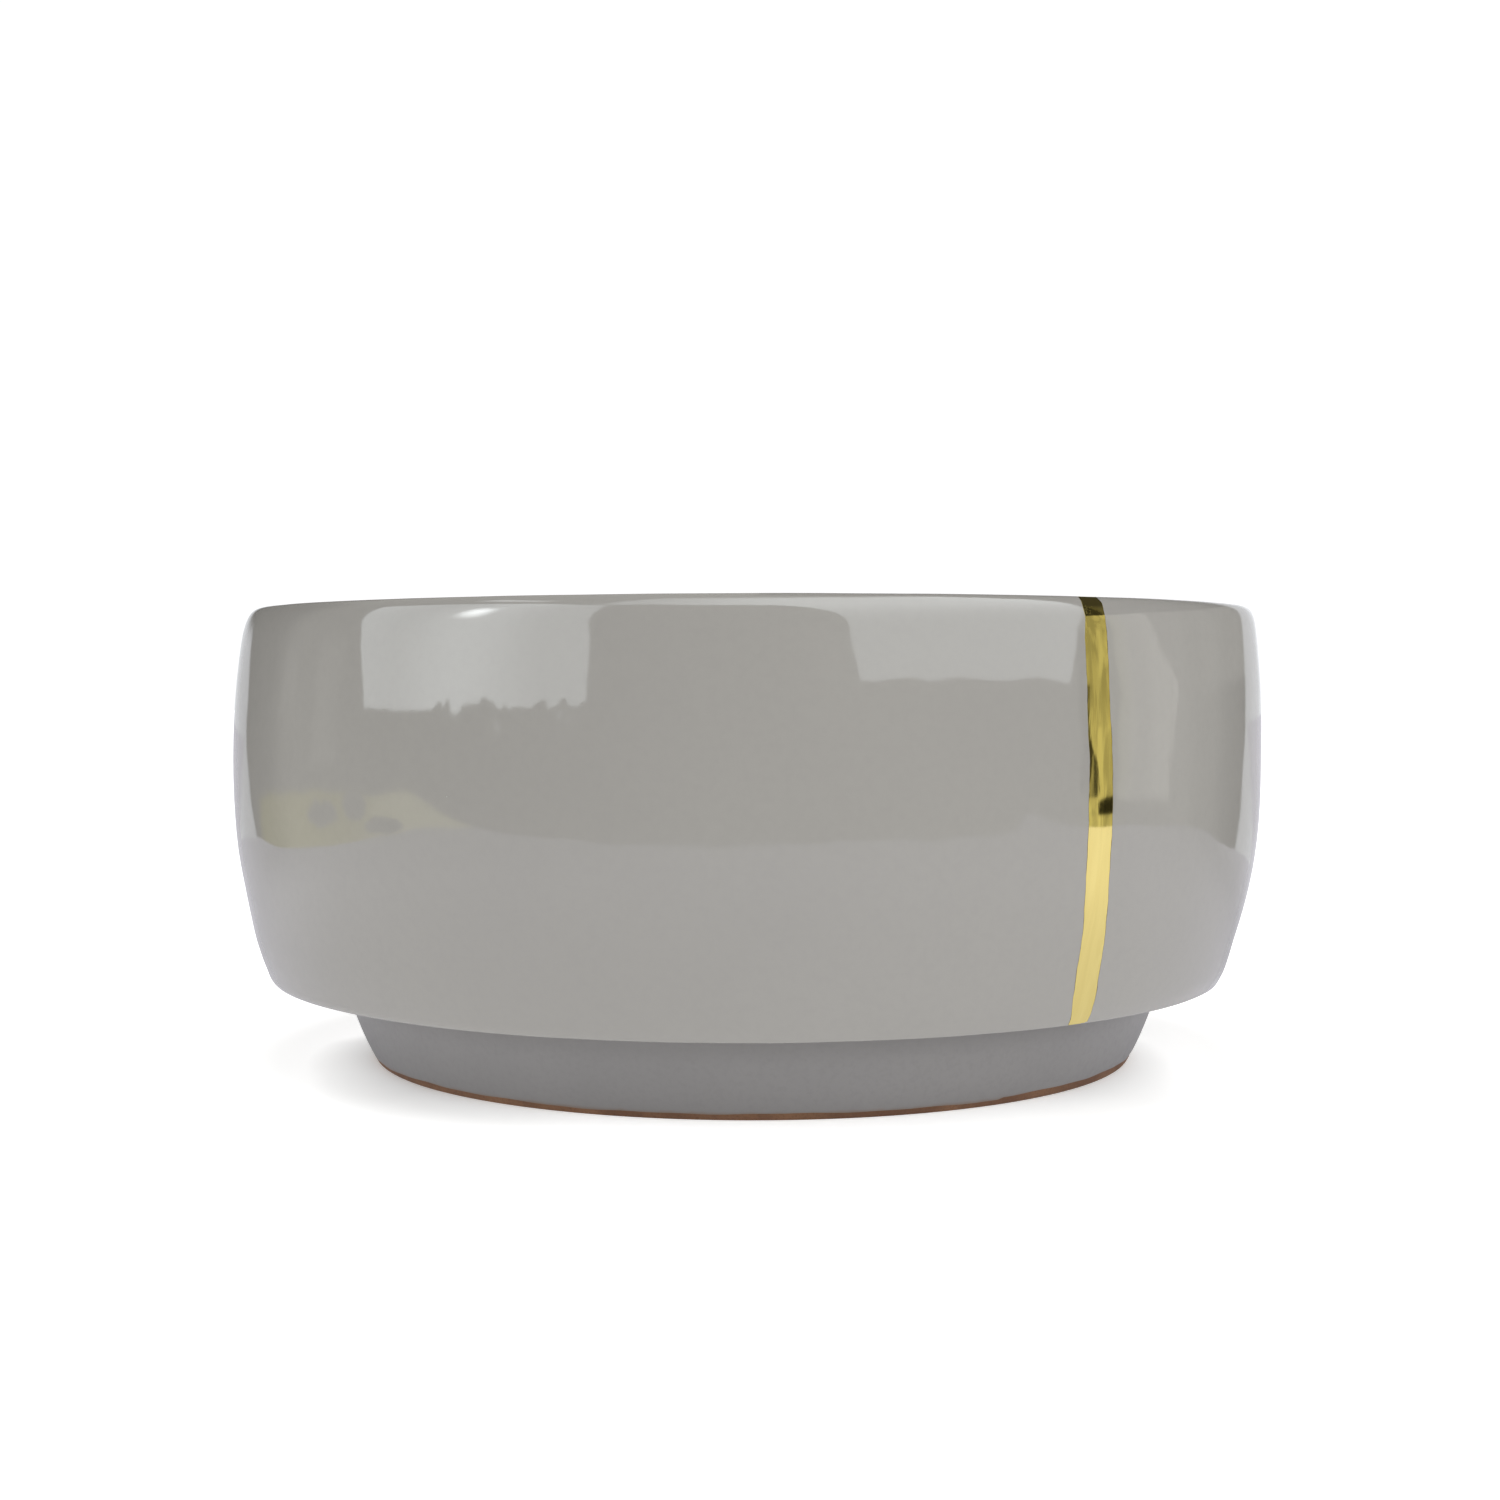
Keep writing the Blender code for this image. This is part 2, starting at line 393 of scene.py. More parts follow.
# ---------------------------------------------------------------- node helpers
class Val:
    """A number in a node tree that can be written as ordinary arithmetic."""

    def __init__(self, tree, socket):
        self.tree, self.socket = tree, socket

    def _math(self, op, *others, clamp=False):
        node = self.tree.nodes.new("ShaderNodeMath")
        node.operation = op
        node.use_clamp = clamp
        for i, value in enumerate((self, *others)):
            if isinstance(value, Val):
                self.tree.links.new(value.socket, node.inputs[i])
            else:
                node.inputs[i].default_value = value
        return Val(self.tree, node.outputs[0])

    def __add__(self, o): return self._math("ADD", o)
    def __radd__(self, o): return self._math("ADD", o)
    def __sub__(self, o): return self._math("SUBTRACT", o)
    def __rsub__(self, o): return self._math("MULTIPLY", -1.0)._math("ADD", o)
    def __mul__(self, o): return self._math("MULTIPLY", o)
    def __rmul__(self, o): return self._math("MULTIPLY", o)
    def __truediv__(self, o): return self._math("DIVIDE", o)
    def __abs__(self): return self._math("ABSOLUTE")
    def most(self, o): return self._math("MAXIMUM", o)
    def least(self, o): return self._math("MINIMUM", o)

    def step(self, a, b):
        """0 at a and 1 at b, smooth between; a may be above b, and either may be a Val."""
        node = self.tree.nodes.new("ShaderNodeMapRange")
        node.interpolation_type = "SMOOTHSTEP"
        self.tree.links.new(self.socket, node.inputs["Value"])
        for name, value in (("From Min", a), ("From Max", b)):
            if isinstance(value, Val):
                self.tree.links.new(value.socket, node.inputs[name])
            else:
                node.inputs[name].default_value = value
        node.inputs["To Min"].default_value = 0.0
        node.inputs["To Max"].default_value = 1.0
        return Val(self.tree, node.outputs["Result"])


def new_node(tree, kind, **values):
    node = tree.nodes.new(kind)
    for key, value in values.items():
        setattr(node, key, value)
    return node


def noise(tree, vector, scale, detail=2.0, rough=0.5, distort=0.0):
    node = new_node(tree, "ShaderNodeTexNoise")
    tree.links.new(vector, node.inputs["Vector"])
    node.inputs["Scale"].default_value = scale
    node.inputs["Detail"].default_value = detail
    node.inputs["Roughness"].default_value = rough
    node.inputs["Distortion"].default_value = distort
    return Val(tree, node.outputs["Fac"])


def mix_colour(tree, fac, a, b, mode="MIX"):
    node = new_node(tree, "ShaderNodeMix", data_type="RGBA", blend_type=mode)
    for socket, value in ((node.inputs[0], fac), (node.inputs[6], a), (node.inputs[7], b)):
        if isinstance(value, Val):
            tree.links.new(value.socket, socket)
        elif isinstance(value, bpy.types.NodeSocket):
            tree.links.new(value, socket)
        else:
            socket.default_value = value
    return node.outputs[2]


def noise_1d(tree, value, scale, detail=2.0):
    node = new_node(tree, "ShaderNodeTexNoise", noise_dimensions="1D")
    tree.links.new(value.socket, node.inputs["W"])
    node.inputs["Scale"].default_value = scale
    node.inputs["Detail"].default_value = detail
    return Val(tree, node.outputs["Fac"])


def curve(tree, value, stops):
    """A piecewise straight function of value through (x, y) stops."""
    xs, ys = [s[0] for s in stops], [s[1] for s in stops]
    x0, x1, y0, y1 = xs[0], xs[-1], min(ys), max(ys)
    node = new_node(tree, "ShaderNodeFloatCurve")
    line_of = node.mapping.curves[0]
    while len(line_of.points) < len(stops):
        line_of.points.new(0.5, 0.5)
    for point, (sx, sy) in zip(line_of.points, stops):
        point.location = ((sx - x0) / (x1 - x0), (sy - y0) / (y1 - y0))
        point.handle_type = "VECTOR"
    node.mapping.update()
    share = (value - x0) * (1.0 / (x1 - x0))
    tree.links.new(share.socket, node.inputs["Value"])
    return Val(tree, node.outputs["Value"]) * (y1 - y0) + y0


def bump(tree, height, distance, strength=1.0, normal=None):
    node = new_node(tree, "ShaderNodeBump")
    node.inputs["Strength"].default_value = strength
    node.inputs["Distance"].default_value = distance
    tree.links.new(height.socket, node.inputs["Height"])
    if normal is not None:
        tree.links.new(normal, node.inputs["Normal"])
    return node.outputs["Normal"]


def base_material(name):
    material = bpy.data.materials.new(name)
    material.use_nodes = True
    tree = material.node_tree
    shader = tree.nodes["Principled BSDF"]
    return material, tree, shader


# ---------------------------------------------------------------- materials
def glaze_material():
    material, tree, shader = base_material("grey_gloss_glaze")
    coords = new_node(tree, "ShaderNodeTexCoord").outputs["Object"]

    # colour: a warm grey with a slow drift and a fine mottle
    drift = noise(tree, coords, 14.0, 2.0)
    mottle = noise(tree, coords, 420.0, 3.0, 0.6)
    colour = mix_colour(tree, drift.step(0.30, 0.70), (0.338, 0.329, 0.311, 1), (0.346, 0.337, 0.317, 1))
    colour = mix_colour(tree, mottle.step(0.35, 0.75) * 0.30, colour, (0.318, 0.310, 0.294, 1))

    # rare pits and specks, about one in every few centimetres
    pits = new_node(tree, "ShaderNodeTexVoronoi", feature="F1")
    tree.links.new(coords, pits.inputs["Vector"])
    pits.inputs["Scale"].default_value = 85.0
    chosen = new_node(tree, "ShaderNodeSeparateColor")
    tree.links.new(pits.outputs["Color"], chosen.inputs[0])
    pick = Val(tree, chosen.outputs[0]).step(0.80, 0.82)
    size = Val(tree, chosen.outputs[1]) * 0.020 + 0.010
    pit = Val(tree, pits.outputs["Distance"]).step(size, size * 0.4) * pick
    pale = Val(tree, chosen.outputs[2]).step(0.55, 0.56)
    colour = mix_colour(tree, pit * 0.65 * (1.0 - pale), colour, (0.150, 0.142, 0.130, 1))
    colour = mix_colour(tree, pit * 0.55 * pale, colour, (0.62, 0.61, 0.58, 1))
    tree.links.new(colour, shader.inputs["Base Color"])

    # gloss
    haze = noise(tree, coords, 38.0, 3.0)
    tree.links.new((haze * 0.030 + 0.035).socket, shader.inputs["Roughness"])
    shader.inputs["IOR"].default_value = 1.52

    # surface: slow ripple, orange peel and the pits
    ripple = noise(tree, coords, 62.0, 1.0, 0.4)
    peel = noise(tree, coords, 260.0, 2.0, 0.45)
    normal = bump(tree, ripple, 0.000110)
    normal = bump(tree, peel, 0.0000075, normal=normal)
    normal = bump(tree, 1.0 - pit, 0.00012, normal=normal)
    tree.links.new(normal, shader.inputs["Normal"])
    material.diffuse_color = (0.335, 0.326, 0.307, 1.0)
    return material


def gold_material():
    material, tree, shader = base_material("gold_lustre")
    uv = new_node(tree, "ShaderNodeUVMap", uv_map="along").outputs["UV"]
    coords = new_node(tree, "ShaderNodeTexCoord").outputs["Object"]

    def stretched(across, down):
        node = new_node(tree, "ShaderNodeMapping")
        tree.links.new(uv, node.inputs["Vector"])
        node.inputs["Scale"].default_value = (across, down, 1.0)
        return node.outputs["Vector"]

    streak = noise(tree, stretched(1500.0, 90.0), 1.0, 3.0, 0.55, 0.6)
    broad = noise(tree, stretched(330.0, 42.0), 1.0, 2.0, 0.5, 0.8)
    colour = mix_colour(tree, broad.step(0.35, 0.68), (0.765, 0.628, 0.220, 1), (0.795, 0.660, 0.238, 1))
    colour = mix_colour(tree, streak.step(0.52, 0.74) * 0.08, colour, (0.640, 0.500, 0.150, 1))
    tree.links.new(colour, shader.inputs["Base Color"])
    shader.inputs["Metallic"].default_value = 1.0
    tree.links.new((streak * 0.05 + 0.020).socket, shader.inputs["Roughness"])
    ripple = noise(tree, coords, 62.0, 1.0, 0.4)
    normal = bump(tree, ripple, 0.000090)
    normal = bump(tree, broad, 0.000012, normal=normal)
    normal = bump(tree, streak, 0.0000016, normal=normal)
    tree.links.new(normal, shader.inputs["Normal"])
    material.diffuse_color = (0.78, 0.645, 0.225, 1.0)
    return material


def stripe_edge_material():
    material, tree, shader = base_material("gold_lustre_edge")
    coords = new_node(tree, "ShaderNodeTexCoord").outputs["Object"]
    patch = noise(tree, coords, 350.0, 2.0)
    colour = mix_colour(tree, patch.step(0.35, 0.65), (0.150, 0.125, 0.050, 1), (0.330, 0.270, 0.105, 1))
    tree.links.new(colour, shader.inputs["Base Color"])
    shader.inputs["Metallic"].default_value = 1.0
    tree.links.new((patch * 0.2 + 0.2).socket, shader.inputs["Roughness"])
    tree.links.new(bump(tree, patch, 0.00002), shader.inputs["Normal"])
    return material


def foot_material():
    material, tree, shader = base_material("satin_glaze_foot")
    coords = new_node(tree, "ShaderNodeTexCoord").outputs["Object"]
    place = new_node(tree, "ShaderNodeSeparateXYZ")
    tree.links.new(coords, place.inputs[0])
    drift = noise(tree, coords, 22.0, 3.0)
    mottle = noise(tree, coords, 600.0, 3.0, 0.6)
    height = Val(tree, place.outputs[2])
    colour = mix_colour(tree, drift.step(0.3, 0.7), (0.282, 0.275, 0.274, 1), (0.298, 0.290, 0.288, 1))
    colour = mix_colour(tree, mottle.step(0.40, 0.75) * 0.35, colour, (0.246, 0.240, 0.238, 1))
    # painted shade: the foot's colour darkens towards the crease, where the body overhangs it
    colour = mix_colour(tree, height.step(0.0135, 0.0215) * 0.40, colour, (0.180, 0.172, 0.168, 1))
    # the coat thins to brown just above the bare line
    thin = height + (noise(tree, coords, 300.0, 2.0) - 0.5) * 0.0012
    colour = mix_colour(tree, thin.step(0.0027, 0.0013) * 0.72, colour, (0.242, 0.166, 0.118, 1))
    tree.links.new(colour, shader.inputs["Base Color"])
    tree.links.new((mottle * 0.14 + 0.36).socket, shader.inputs["Roughness"])
    shader.inputs["IOR"].default_value = 1.45
    grain = noise(tree, coords, 900.0, 3.0, 0.6)
    normal = bump(tree, drift, 0.00008)
    normal = bump(tree, grain, 0.000018, normal=normal)
    tree.links.new(normal, shader.inputs["Normal"])
    return material


def bare_material():
    material, tree, shader = base_material("bare_fired_clay")
    coords = new_node(tree, "ShaderNodeTexCoord").outputs["Object"]
    drift = noise(tree, coords, 70.0, 3.0)
    grain = noise(tree, coords, 1500.0, 3.0, 0.65)
    colour = mix_colour(tree, drift.step(0.3, 0.7), (0.175, 0.085, 0.045, 1), (0.260, 0.135, 0.070, 1))
    colour = mix_colour(tree, grain.step(0.45, 0.80) * 0.6, colour, (0.110, 0.058, 0.035, 1))
    tree.links.new(colour, shader.inputs["Base Color"])
    tree.links.new((grain * 0.15 + 0.72).socket, shader.inputs["Roughness"])
    tree.links.new(bump(tree, grain, 0.00006), shader.inputs["Normal"])
    return material


# ---------------------------------------------------------------- studio: floor
# Distance from the bowl's axis to the table's edge, by direction in degrees round from the front
TABLE = [(-141.0, 0.70), (-118.5, 0.600), (-104.5, 0.499), (-86.3, 0.508), (-72.5, 0.560), (-61.6, 0.668), (-56.0, 0.640),
         (-50.9, 0.655), (-46.0, 0.610), (-39.3, 0.583), (-27.6, 0.538), (-16.6, 0.504), (-2.8, 0.492), (14.3, 0.517),
         (26.9, 0.538), (39.1, 0.564), (50.8, 0.631), (53.5, 0.775), (54.7, 0.851), (57.2, 0.786), (60.4, 0.703),
         (66.0, 0.652), (74.8, 0.662), (101.4, 0.660), (108.7, 0.588), (116.7, 0.538), (139.0, 0.52)]
# The painted shadow beside the foot by direction: how deep it is and how far it reaches, in metres
SHADE_DEPTH = [(-180.0, 0.0), (-98.0, 0.0), (-95.0, 0.33), (-90.0, 0.39), (-80.0, 0.42), (-60.0, 0.43), (-50.0, 0.45),
               (-40.0, 0.38), (-30.0, 0.28), (-20.0, 0.16), (-10.0, 0.13), (0.0, 0.10), (10.0, 0.11), (20.0, 0.15),
               (30.0, 0.19), (40.0, 0.26), (50.0, 0.35), (60.0, 0.35), (70.0, 0.31), (80.0, 0.23), (90.0, 0.18),
               (98.0, 0.0), (180.0, 0.0)]
SHADE_WIDTH = [(-180.0, 0.010), (-95.0, 0.010), (-90.0, 0.0155), (-85.0, 0.0165), (-75.0, 0.0185), (-65.0, 0.0205),
               (-50.0, 0.030), (-40.0, 0.034), (-30.0, 0.030), (-20.0, 0.014), (-10.0, 0.009), (0.0, 0.012),
               (20.0, 0.022), (40.0, 0.030), (50.0, 0.029), (60.0, 0.021), (70.0, 0.0145), (80.0, 0.0115),
               (90.0, 0.009), (180.0, 0.009)]
FLOOR_WHITE = 0.80
FLOOR_GLOW = 0.30         # the sheet's own brightness, which keeps the shadow under the bowl light


def build_floor():
    points = []
    for i in range(-141, 139, 1):
        r = along(float(i), TABLE)
        points.append((r * math.sin(math.radians(i)), -r * math.cos(math.radians(i))))
    for a in (139.0, 150.0, 165.0, 180.0, 195.0, 210.0, 218.8):
        points.append((7.0 * math.sin(math.radians(a)), -7.0 * math.cos(math.radians(a))))
    verts = [(x, y, 0.0) for x, y in points] + [(0.0, 0.0, 0.0)]
    centre = len(points)
    faces = [(centre, i, (i + 1) % len(points)) for i in range(len(points))]
    mesh = bpy.data.meshes.new("studio_floor")
    mesh.from_pydata(verts, [], faces)
    mesh.update()
    floor = bpy.data.objects.new("studio_floor", mesh)
    bpy.context.scene.collection.objects.link(floor)
    material = bpy.data.materials.new("studio_floor_white")
    material.use_nodes = True
    tree = material.node_tree
    tree.nodes.clear()
    out = new_node(tree, "ShaderNodeOutputMaterial")
    place = new_node(tree, "ShaderNodeSeparateXYZ")
    tree.links.new(new_node(tree, "ShaderNodeTexCoord").outputs["Object"], place.inputs[0])
    x, y = Val(tree, place.outputs[0]), Val(tree, place.outputs[1])
    reach = (x * x + y * y)._math("SQRT")
    near = reach.step(0.112, 0.150)          # 0 at the foot, 1 past the overhang
    white = new_node(tree, "ShaderNodeBsdfDiffuse")
    white.inputs["Color"].default_value = (FLOOR_WHITE, FLOOR_WHITE, FLOOR_WHITE, 1)
    glow = new_node(tree, "ShaderNodeEmission")
    glow.inputs["Color"].default_value = (1, 1, 1, 1)
    # to the eye the glow evens the real shadow out and paints a shadow in its place, by direction round the foot and
    # distance from it
    turn = x._math("ARCTAN2", y * -1.0) * (180.0 / math.pi)
    off = (x * x + (y + FOOT_FORWARD) * (y + FOOT_FORWARD))._math("SQRT") - FOOT_R
    depth = curve(tree, turn, SHADE_DEPTH)
    width = curve(tree, turn, SHADE_WIDTH)
    shade = depth * (1.0 - off / width).most(0.0)
    front = turn.step(-60.0, 10.0) * turn.step(170.0, 95.0)
    lit = front * 0.04 + 0.21 + off.step(0.0, 0.030) * (front * 0.15 + 0.10)
    eye = 0.985 + off.step(0.025, 0.055) * 0.25 - shade - lit
    path = new_node(tree, "ShaderNodeLightPath")
    camera_ray = Val(tree, path.outputs["Is Camera Ray"])
    bounce = (near * 0.22 + FLOOR_GLOW) * (1.38 - x.step(-0.25, 0.25) * 0.74)
    strength = bounce * (1.0 - camera_ray) + eye * camera_ray
    tree.links.new(strength.socket, glow.inputs["Strength"])
    both = new_node(tree, "ShaderNodeAddShader")
    tree.links.new(white.outputs[0], both.inputs[0])
    tree.links.new(glow.outputs[0], both.inputs[1])

    # the sheet as the gloss shows it, a glow: cool white, dimmer behind the bowl and darkened near it by a painted
    # shadow
    level = (x.step(-0.05, 0.10) * 0.06 + 1.04 - y.step(-0.05, 0.17) * 0.36 
             - y.step(-0.09, -0.02) * y.step(0.45, 0.10) * x.step(0.10, 0.20) * 0.16)
    around = 1.0 - reach.step(0.34, 0.13) * (x.step(-0.06, 0.10) * -0.14 + 0.36)
    mirror = new_node(tree, "ShaderNodeEmission")
    mirror.inputs["Color"].default_value = (0.99, 0.98, 1.07, 1)
    tree.links.new((level * around * (near * 0.5 + 0.5)).socket, mirror.inputs["Strength"])
    seen = new_node(tree, "ShaderNodeMixShader")
    tree.links.new(path.outputs["Is Glossy Ray"], seen.inputs[0])
    tree.links.new(both.outputs[0], seen.inputs[1])
    tree.links.new(mirror.outputs[0], seen.inputs[2])

    clear = new_node(tree, "ShaderNodeBsdfTransparent")
    side = new_node(tree, "ShaderNodeNewGeometry")
    pick = new_node(tree, "ShaderNodeMixShader")
    tree.links.new(side.outputs["Backfacing"], pick.inputs[0])
    tree.links.new(seen.outputs[0], pick.inputs[1])
    tree.links.new(clear.outputs[0], pick.inputs[2])
    tree.links.new(pick.outputs[0], out.inputs["Surface"])
    mesh.materials.append(material)
    return floor


# ---------------------------------------------------------------- studio: light
# How strongly each part of the studio lights the bowl, apart from how it shows in the gloss
LIGHT_LEFT = 1.04
LIGHT_RIGHT = 1.41
LIGHT_ROOM = 0.17
LIGHT_TOP = 0.42
LIGHT_FLOOR = 1.0
LIGHT_SLOPE = 0.19        # how much more of all of it comes from the right


def build_world():
    """White to the eye. The gloss shows two softboxes, a pale wall, a darker room and the pale sheet behind."""
    world = bpy.data.worlds.new("studio")
    bpy.context.scene.world = world
    world.use_nodes = True
    tree = world.node_tree
    tree.nodes.clear()
    out = new_node(tree, "ShaderNodeOutputWorld")
    coords = new_node(tree, "ShaderNodeTexCoord").outputs["Generated"]
    place = new_node(tree, "ShaderNodeSeparateXYZ")
    tree.links.new(coords, place.inputs[0])
    x, y, z = (Val(tree, place.outputs[i]) for i in range(3))
    az = x._math("ARCTAN2", y * -1.0) * (180.0 / math.pi)      # round from the front, positive to the right
    el = z._math("ARCSINE") * (180.0 / math.pi)
    wobble = noise(tree, coords, 30.0, 2.0, 0.5) - 0.5

    # the pale sheet behind, lower on the left
    left_edge = -138.3 - (el + 4.0) * 0.8
    behind_left = az.step(left_edge + 0.8, left_edge - 0.8) * el.step(8.0 + az.step(-158.0, -176.0) * 20.0, 3.0)
    right_edge = 137.0 + (el + 4.0) * 0.5
    behind_right = az.step(right_edge - 0.8, right_edge + 0.8) * el.step(30.0, 14.0)
    behind = behind_left.most(behind_right)

    # the room: mid grey in front, dim on both far sides, the pale wall on the right
    front = az.step(-10.0, 40.0) * 0.16 + az.step(-60.0, -40.0) * 0.04 + 0.42
    dim_left = az.step(-112.0, -128.0) * 0.35 - az.step(-80.0, -92.0) * 0.10
    dim_right = az.step(104.0, 114.0) * 0.30 + az.step(116.0, 128.0) * 0.22
    room = front - dim_left - dim_right
    room = room + az.step(11.0, 14.0) * az.step(21.5, 19.0) * el.step(7.0, 9.5) * el.step(22.0, 17.0) * 0.10
    room = room + az.step(-107.0, -104.5) * az.step(-95.5, -98.0) * el.step(-3.0, -1.0) * el.step(13.0, 8.0) * 0.20
    room = room + az.step(-121.0, -119.5) * az.step(-113.5, -115.0) * el.step(1.0, 3.0) * el.step(9.0, 6.0) * 0.12
    room = room + az.step(103.0, 126.0) * el.step(1.7, 2.3) * 0.18
    strips = noise_1d(tree, az, 0.62, 1.0)
    folds = strips.step(0.40, 0.47) * 0.30 + (noise_1d(tree, az + 40.0, 0.20) - 0.5) * 0.8 + 0.85
    lit_to = 104.0 + wobble * 4.0 - el.step(3.0, 10.0) * 7.0 - el.step(-1.0, -4.0) * 3.5
    wall = az.step(84.0, 84.8) * az.step(lit_to + 0.5, lit_to - 0.5) * el.step(-4.7, -4.1) * el.step(34.0, 24.0)
    room = room + wall * folds * 0.66

    # what the gold shows beside it: broad uneven patches, a dark post and a dark block
    strip = az.step(73.5, 75.0) * az.step(84.8, 84.0)
    warp = new_node(tree, "ShaderNodeCombineXYZ")
    tree.links.new((az * 0.55).socket, warp.inputs[0])
    tree.links.new((el * 0.16).socket, warp.inputs[1])
    patches = noise(tree, warp.outputs[0], 1.0, 2.0, 0.55, 0.6)
    room = room + strip * (patches.step(0.46, 0.52) * 0.16 + patches.step(0.58, 0.60) * 0.12 - 0.16
                           - el.step(2.0, 5.0) * 0.07 + el.step(-5.6, -6.4) * 0.10)
    post_edge = curve(tree, el, [(-5.2, 78.5), (-3.6, 78.6), (-3.1, 78.5), (-2.7, 78.2), (-2.3, 77.8), (-1.9, 77.3),
                                 (-1.4, 76.9), (-0.6, 76.65), (3.0, 76.5), (5.0, 76.45), (5.6, 75.0), (9.5, 74.9)])
    sliver = az.step(76.35, 76.5) * az.step(76.95, 76.75) * el.step(-1.7, -2.1) * 0.85
    post = (az.step(73.4, 73.8) * az.step(post_edge + 0.16, post_edge - 0.16) * el.step(-3.75, -3.55)
            * (1.0 - sliver))
    block = az.step(78.85, 79.05) * az.step(84.4, 84.1) * el.step(-5.82, -5.66) * el.step(-3.92, -4.10)
    under = az.step(80.8, 81.4) * az.step(84.0, 83.8) * el.step(-8.4, -8.2) * el.step(-5.7, -5.9)
    ceiling = el.step(27.0, 44.0)
    over = az.step(72.0, 78.0) * el.step(18.2, 18.8)
    room = room * (1.0 - ceiling) + ceiling * 0.62
    room = room * (1.0 - post * 0.90) * (1.0 - block * 0.96) * (1.0 - under * 0.25) * (1.0 - over * 0.90)

    # two softboxes
    rim = az.step(-73.0, -66.0)
    ragged = (noise(tree, coords, 17.0, 2.0, 0.55) - 0.5) * rim
    low = 4.12 + (az + 89.0) * 0.036 + ragged * 6.0 + wobble * 0.35
    left_side = -88.4 - (el - 4.0) * 0.47 + wobble * 0.8
    right_end = -33.3 - (el - 6.0) * 0.11 + wobble * 1.2
    lid = 47.8 - (az + 62.0) * (az + 62.0) * 0.0069
    left_box = (az.step(left_side - 0.35, left_side + 0.35) * az.step(right_end + 0.3, right_end - 0.3)
                * el.step(low - 0.18, low + 0.18) * el.step(lid + 1.0, lid - 1.0))
    hot = az.step(-72.5, -67.5) * az.step(-61.0, -66.5) * el.step(23.0, 31.0) * el.step(40.0, 32.0)
    spill = noise(tree, coords, 24.0, 1.0, 0.5).step(0.60, 0.66) * az.step(-58.0, -52.0) * az.step(-33.0, -36.0) * (
        el.step(1.0, 3.2) * el.step(7.0, 4.5))

    under_box = curve(tree, az, [(-60.0, 48.0), (-37.0, 46.0), (-26.0, 46.2), (-12.8, 44.1), (-0.2, 43.6), (6.0, 42.4),
                                 (11.9, 39.3), (15.5, 35.5), (18.1, 31.3), (20.7, 23.2), (21.4, 15.0), (22.6, 9.5),
                                 (23.2, 8.45), (31.6, 8.0), (42.5, 7.5), (54.0, 7.0), (66.1, 6.35), (90.0, 5.1)])
    right_side = 72.3 + (el - 7.5) * 0.47 + wobble * 1.2
    start = az.step(-44.0, -36.0)
    right_box = (start * az.step(right_side + 0.35, right_side - 0.35)
                 * el.step(under_box - 0.2, under_box + 0.2) * el.step(80.0, 66.0))
    thin = az.step(-99.0, -93.0) * az.step(-62.0, -70.0) * el.step(52.5, 54.0) * el.step(59.0, 57.5)

    boxes = left_box + right_box - left_box * right_box
    dark = room * (1.0 - boxes) * (1.0 - behind)
    glare = az.step(-84.0, -64.0) * az.step(-42.0, -62.0) * 1.35
    lamps = (left_box * (glare + 3.05) + hot * 11.0 + spill * 0.9
             + right_box * (2.72 + el.step(16.0, 46.0) * 2.0) * (az.step(-40.0, 12.0) * 0.45 + 0.55) + thin * 3.2)
    sheet = behind * (0.80 + az.step(-150.0, -162.0) * 0.05 + az.step(60.0, 61.0) * 0.08 + az.step(154.0, 164.0) * 0.2)
    shown = dark + lamps + sheet

    # a warm brown patch low on the left, with three dull spots in it
    slant = -71.5 - (el + 4.9) * 4.0
    warm = az.step(-134.0, -128.0) * az.step(slant + 1.0, slant - 1.0) * el.step(-3.6, -4.3) * (1.0 - behind)

    def spot(a, e, ra, re):
        u, v = (az - a) * (1.0 / ra), (el - e) * (1.0 / re)
        return (u * u + v * v + wobble * 1.6).step(1.12, 0.88)

    knots = spot(-102.2, -5.8, 5.0, 1.2).most(spot(-91.2, -5.0, 3.9, 1.2)).most(spot(-82.6, -7.5, 5.2, 1.1))
    warm = warm * (1.0 - knots)
    tinted = dark * (1.0 - az.step(72.0, 76.0) * az.step(90.0, 84.0) * 0.22)
    pale = warm * az.step(-94.0, -76.0) * 0.70
    warm = warm * (az.step(-128.0, -100.0) * 0.65 + 0.60)
    colour = new_node(tree, "ShaderNodeCombineColor")
    tree.links.new((dark + lamps * 0.96 + sheet * 0.98 + warm * 0.34 + pale).socket, colour.inputs[0])
    tree.links.new((dark * 0.975 + lamps + sheet + warm * 0.30 + pale).socket, colour.inputs[1])
    tree.links.new((tinted * 0.90 + lamps * 1.01 + sheet * 1.04 - warm * 0.10 + pale * 0.85).socket, colour.inputs[2])

    gloss = new_node(tree, "ShaderNodeBackground")
    tree.links.new(colour.outputs[0], gloss.inputs["Color"])

    # what lights the bowl: the same softboxes in plain outline, a soft ceiling and the pale sheet behind
    left_lamp = az.step(-98.0, -88.0) * az.step(-32.0, -37.0) * el.step(3.0, 5.5) * el.step(50.0, 42.0)
    right_lamp = az.step(16.0, 23.0) * az.step(86.0, 74.0) * el.step(6.5, 9.0) * el.step(80.0, 64.0)
    above = z.step(-0.02, 0.04)
    dome = (left_lamp * LIGHT_LEFT + right_lamp * (el.step(20.0, 46.0) * 0.45 + 1.0) * LIGHT_RIGHT + LIGHT_ROOM
            + z.step(0.55, 1.0) * LIGHT_TOP) * above + LIGHT_FLOOR * (1.0 - above)
    level = dome * (1.0 + x * LIGHT_SLOPE)
    lighting = new_node(tree, "ShaderNodeBackground")
    tree.links.new(level.socket, lighting.inputs["Strength"])
    lighting.inputs["Color"].default_value = (1.0, 0.993, 0.985, 1)

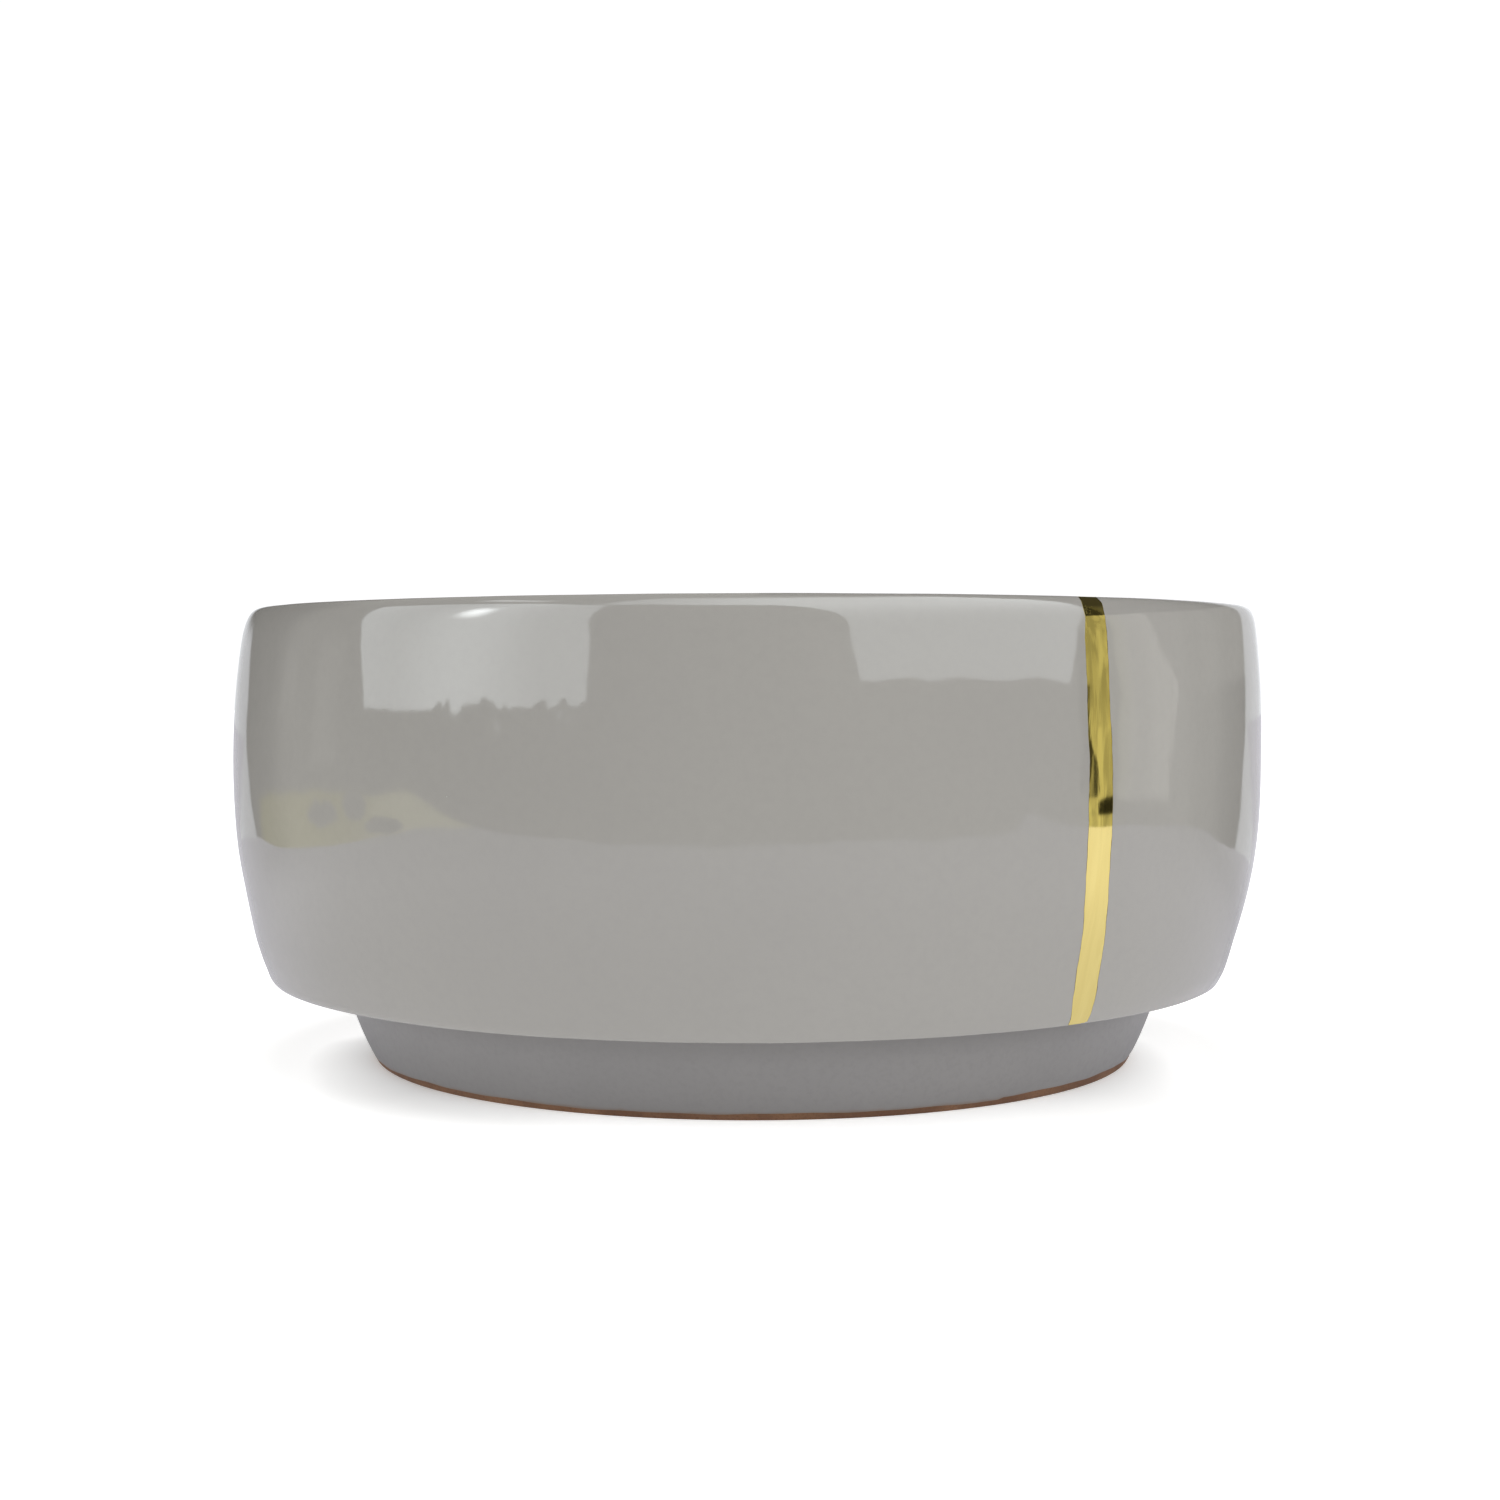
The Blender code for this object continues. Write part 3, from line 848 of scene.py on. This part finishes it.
    white = new_node(tree, "ShaderNodeBackground")
    white.inputs["Color"].default_value = (1.0, 1.0, 1.0, 1)
    white.inputs["Strength"].default_value = 1.05

    path = new_node(tree, "ShaderNodeLightPath")
    either = new_node(tree, "ShaderNodeMixShader")
    tree.links.new(path.outputs["Is Glossy Ray"], either.inputs[0])
    tree.links.new(lighting.outputs[0], either.inputs[1])
    tree.links.new(gloss.outputs[0], either.inputs[2])
    final = new_node(tree, "ShaderNodeMixShader")
    tree.links.new(path.outputs["Is Camera Ray"], final.inputs[0])
    tree.links.new(either.outputs[0], final.inputs[1])
    tree.links.new(white.outputs[0], final.inputs[2])
    tree.links.new(final.outputs[0], out.inputs["Surface"])
    return world


def build_light():
    """A broad soft light straight above."""
    data = bpy.data.lights.new("overhead_softbox", "AREA")
    data.shape = "RECTANGLE"
    data.size, data.size_y = 2.4, 2.0
    data.energy = 7.0
    light = bpy.data.objects.new("overhead_softbox", data)
    bpy.context.scene.collection.objects.link(light)
    light.location = (0.35, -0.35, 2.2)
    light.rotation_euler = (Vector(light.location) - Vector((0, 0, 0.06))).to_track_quat("Z", "Y").to_euler()
    light.visible_glossy = False
    light.visible_camera = False
    return light


# ---------------------------------------------------------------- camera
def build_camera():
    data = bpy.data.cameras.new("camera")
    data.sensor_width = 36.0
    data.lens = 2132.0 / 1500.0 * 36.0
    data.clip_start, data.clip_end = 0.01, 100.0
    camera = bpy.data.objects.new("camera", data)
    bpy.context.scene.collection.objects.link(camera)
    camera.location = (0.0, -0.6395, 0.1095)
    camera.rotation_euler = (math.radians(90.0) - 0.0333, 0.0, 0.0)
    bpy.context.scene.camera = camera
    return camera


def main():
    build_camera()
    bpy.context.scene.view_settings.view_transform = "Standard"
    bpy.context.scene.view_settings.look = "None"
    bowl = build_bowl()
    for made in (glaze_material(), gold_material(), stripe_edge_material(), foot_material(), bare_material()):
        bowl.data.materials.append(made)
    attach(bowl, "root")
    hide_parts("bowl")
    build_floor()
    build_world()
    build_light()


main()
